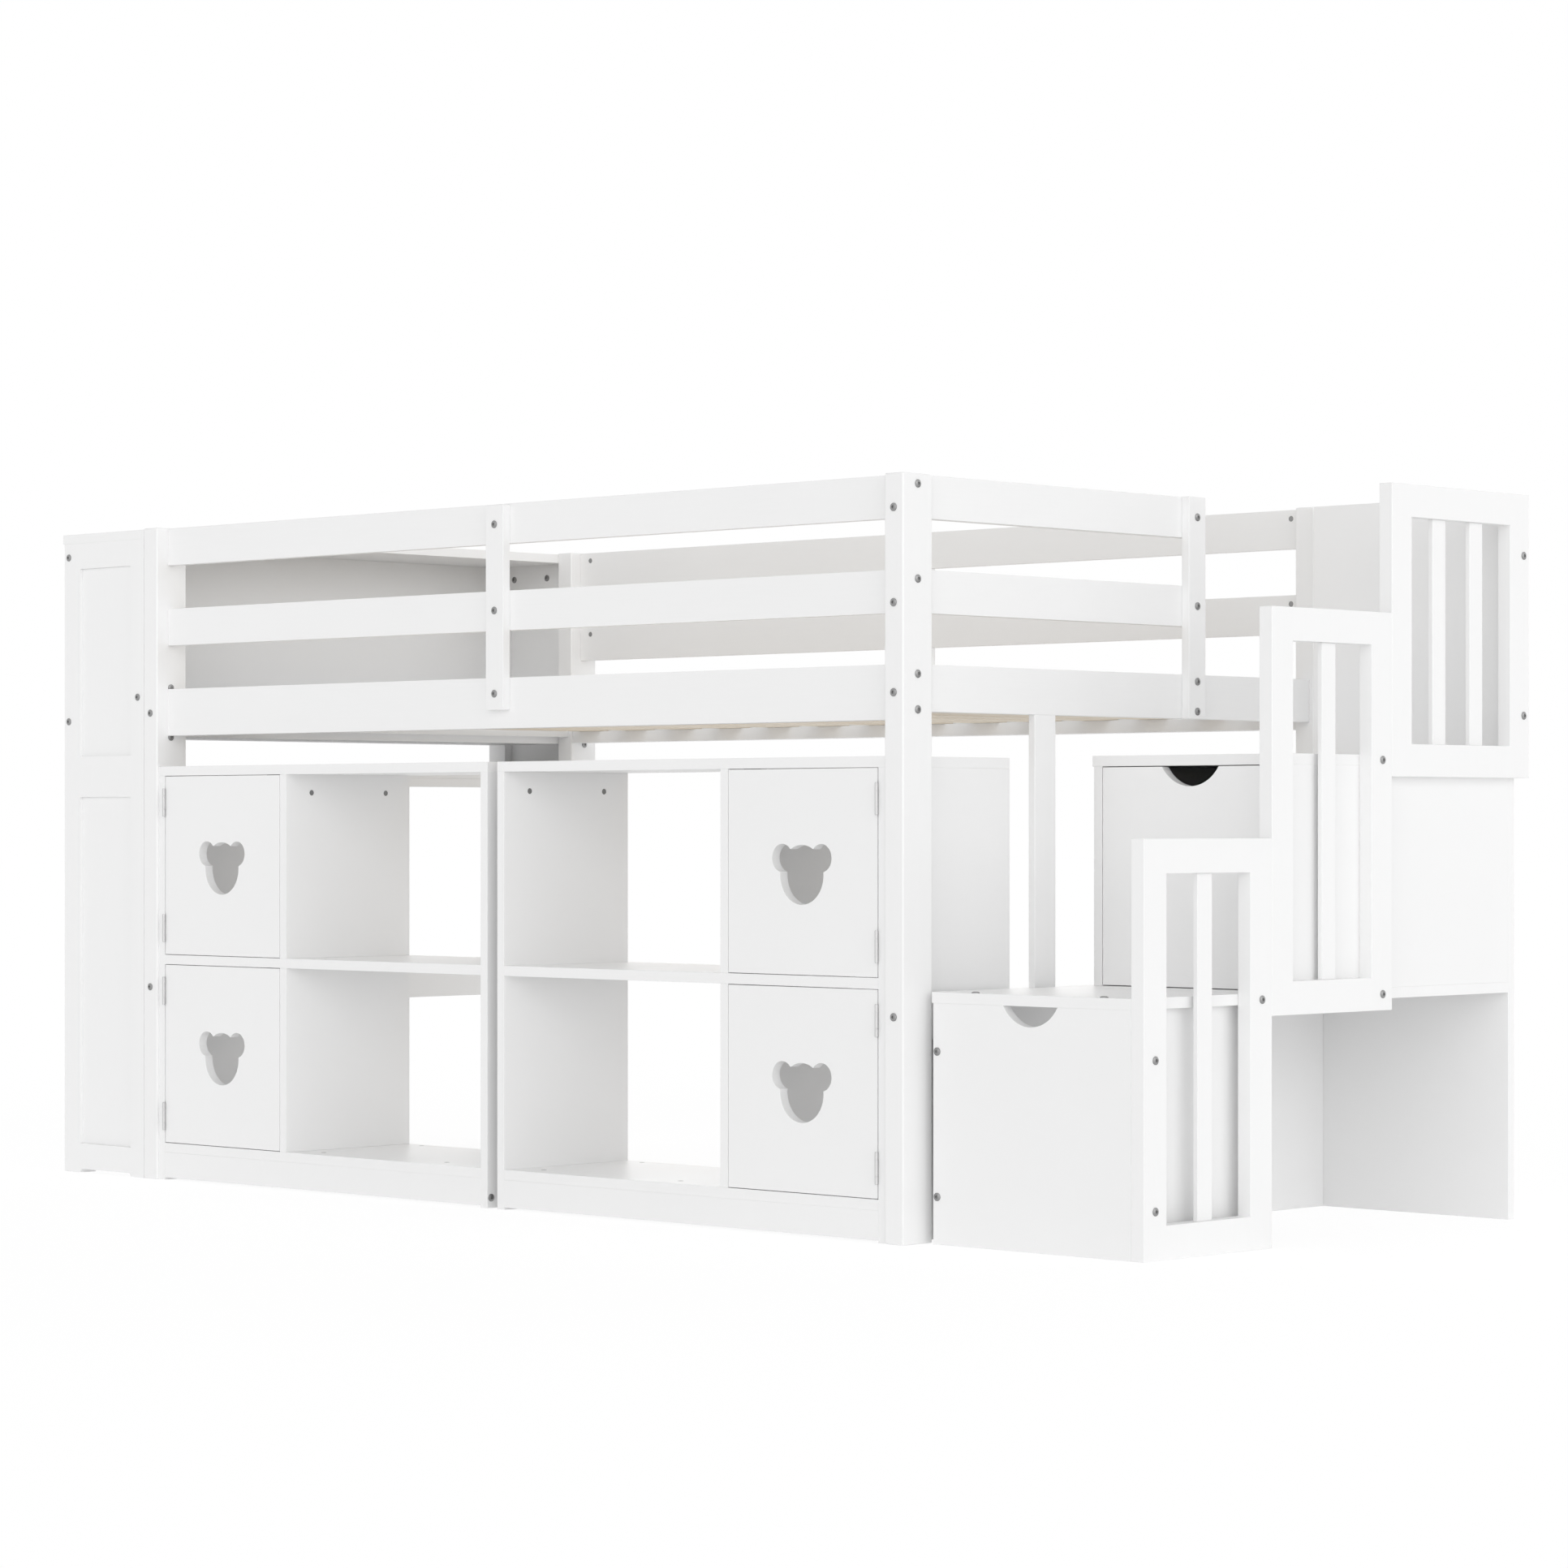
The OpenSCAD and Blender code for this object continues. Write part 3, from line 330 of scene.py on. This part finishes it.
woodwork = {                     # the edge and the finish of each wooden node
    ("post", pineZ): [
        "post_front_left", "post_front_right", "post_back_left", "post_back_right"],
    ("rail", pineX): [
        "side_rails", "guard_rails_front", "guard_rails_back", "slat_ledgers"],
    ("rail", pineY): [
        "guard_rails_end", "end_rails", "niche_rail", "desk_apron"],
    ("rail", pineZ): [
        "balusters", "support_leg", "railing_lower", "railing_middle", "railing_upper",
        "railing_slats", "end_side_front", "end_side_back"],
    ("board", pineZ): [
        "stair_battens", "end_side_panels"],
    ("board", whiteBoard): [
        "case_sides", "case_dividers", "case_tops", "case_shelves", "case_bottoms",
        "case_plinths", "door_left_upper", "door_left_lower", "door_right_upper",
        "door_right_lower", "step_front", "step_tread", "step_side_right",
        "stair_wall_left", "landing_sides", "landing_floor", "landing_top",
        "stair_back_panel", "drawer_front", "drawer_box", "drawer_bottom", "end_top",
        "niche_back", "niche_floor", "desk_top"],
    ("slat", slatPine): [
        "bed_slats"],
}
for (edge, material), names in woodwork.items():
    for name in names:
        softened(name, material, edges[edge])
print("woodwork ready")

metalwork = {
    "bolts": boltSteel,
    "case_cams": camSteel,
    "hinge_case_leaves": hingeSteel,
    "hinge_leaves_left_upper": hingeSteel,
    "hinge_leaves_left_lower": hingeSteel,
    "hinge_leaves_right_upper": hingeSteel,
    "hinge_leaves_right_lower": hingeSteel,
    "door_catches": hingeSteel,
    "runner_rails": runnerSteel,
    "drawer_slides": runnerSteel,
    "desk_slides": runnerSteel,
}
for name, steel in metalwork.items():
    nodes[name].data.materials.clear()
    nodes[name].data.materials.append(steel)
print("metalwork ready")

camera = {
    "place": (5.7158, -5.8734, 0.6822),
    "forward": (-0.69359, 0.72037, 0.0),
    "lens": 101.56,              # millimetres, as the sensor's width
    "sensor": 36,
    "shiftY": 0.02577,
    "farthest": 100,
}
cameraData = bpy.data.cameras.new("camera")
cameraData.lens = camera["lens"]
cameraData.sensor_width = camera["sensor"]
cameraData.shift_y = camera["shiftY"]
cameraData.clip_end = camera["farthest"]
cameraObject = bpy.data.objects.new("camera", cameraData)
cameraObject.location = camera["place"]
cameraObject.rotation_euler = Vector(camera["forward"]).to_track_quat("-Z", "Y").to_euler()
bpy.context.scene.collection.objects.link(cameraObject)
bpy.context.scene.camera = cameraObject
print("camera ready")

studio = {
    "floor": "#f4f4f4",
    "floorReach": 60,            # metres from the middle to each side
    "underlight": 0.20,          # the floor is a white table lit from within
    "seenGlow": 0.90,            # the part of the seen floor that shadow doesn't reach
    "seenShade": 0.13,           # the part that shows the shadow
    "world": 0.56,
    "seenWorld": 1.0,
    "softboxes": {               # strength, spread, side (0 front, 90 right) and height
        "front_softbox": (1.18, 60, 30, 8),
        "side_softbox": (0.92, 60, 90, 8),
        "back_softbox": (0.95, 60, 200, 15),
    },
}


def straightSight(tree):  # 1 for what the camera, a mirror or glass shows, 0 for what lights
    path = addNode(tree, "ShaderNodeLightPath")
    mirrored = addNode(tree, "ShaderNodeMath", {"operation": "MAXIMUM"},
                       {0: path.outputs["Is Camera Ray"], 1: path.outputs["Is Glossy Ray"]})
    seen = addNode(tree, "ShaderNodeMath", {"operation": "MAXIMUM"},
                   {0: mirrored.outputs[0], 1: path.outputs["Is Transmission Ray"]})
    return seen.outputs[0]


def lightTable(name):
    # Matt white table lit from within; to the eye it is nearly plain white and keeps
    # the object's shadow.
    material, tree = newMaterial(name)
    matt = addNode(tree, "ShaderNodeBsdfDiffuse", {"Color": toLinear(studio["floor"])})
    lit = addNode(tree, "ShaderNodeEmission",
                  {"Color": plainWhite, "Strength": studio["underlight"]})
    table = addNode(tree, "ShaderNodeAddShader", {}, {0: matt.outputs[0], 1: lit.outputs[0]})
    faint = addNode(tree, "ShaderNodeBsdfDiffuse", {"Color": [studio["seenShade"]] * 3 + [1]})
    glow = addNode(tree, "ShaderNodeEmission",
                   {"Color": plainWhite, "Strength": studio["seenGlow"]})
    seen = addNode(tree, "ShaderNodeAddShader", {}, {0: faint.outputs[0], 1: glow.outputs[0]})
    both = addNode(tree, "ShaderNodeMixShader", {},
                   {0: straightSight(tree), 1: table.outputs[0], 2: seen.outputs[0]})
    addNode(tree, "ShaderNodeOutputMaterial", {}, {"Surface": both.outputs[0]})
    return material


floorMesh = bpy.data.meshes.new("floor")
plane = bmesh.new()
bmesh.ops.create_grid(plane, x_segments=1, y_segments=1, size=studio["floorReach"])
plane.to_mesh(floorMesh)
plane.free()
floorMesh.materials.append(lightTable("matt_white_light_table"))
floorObject = bpy.data.objects.new("floor", floorMesh)
bpy.context.scene.collection.objects.link(floorObject)

world = bpy.data.worlds.new("studio")
bpy.context.scene.world = world
world.use_nodes = True
tree = world.node_tree
tree.nodes.clear()
soft = addNode(tree, "ShaderNodeBackground", {"Color": plainWhite, "Strength": studio["world"]})
bright = addNode(tree, "ShaderNodeBackground",
                 {"Color": plainWhite, "Strength": studio["seenWorld"]})
both = addNode(tree, "ShaderNodeMixShader", {},
               {0: straightSight(tree), 1: soft.outputs[0], 2: bright.outputs[0]})
addNode(tree, "ShaderNodeOutputWorld", {}, {"Surface": both.outputs[0]})

for name, (strength, spread, side, height) in studio["softboxes"].items():
    lampData = bpy.data.lights.new(name, "SUN")
    lampData.energy = strength
    lampData.angle = math.radians(spread)
    turn, tilt = math.radians(side), math.radians(height)
    level = math.cos(tilt)
    shine = Vector((-math.sin(turn) * level, math.cos(turn) * level, -math.sin(tilt)))
    lamp = bpy.data.objects.new(name, lampData)
    lamp.rotation_euler = shine.to_track_quat("-Z", "Y").to_euler()
    bpy.context.scene.collection.objects.link(lamp)
bpy.context.scene.view_settings.view_transform = "Standard"
print("studio ready")
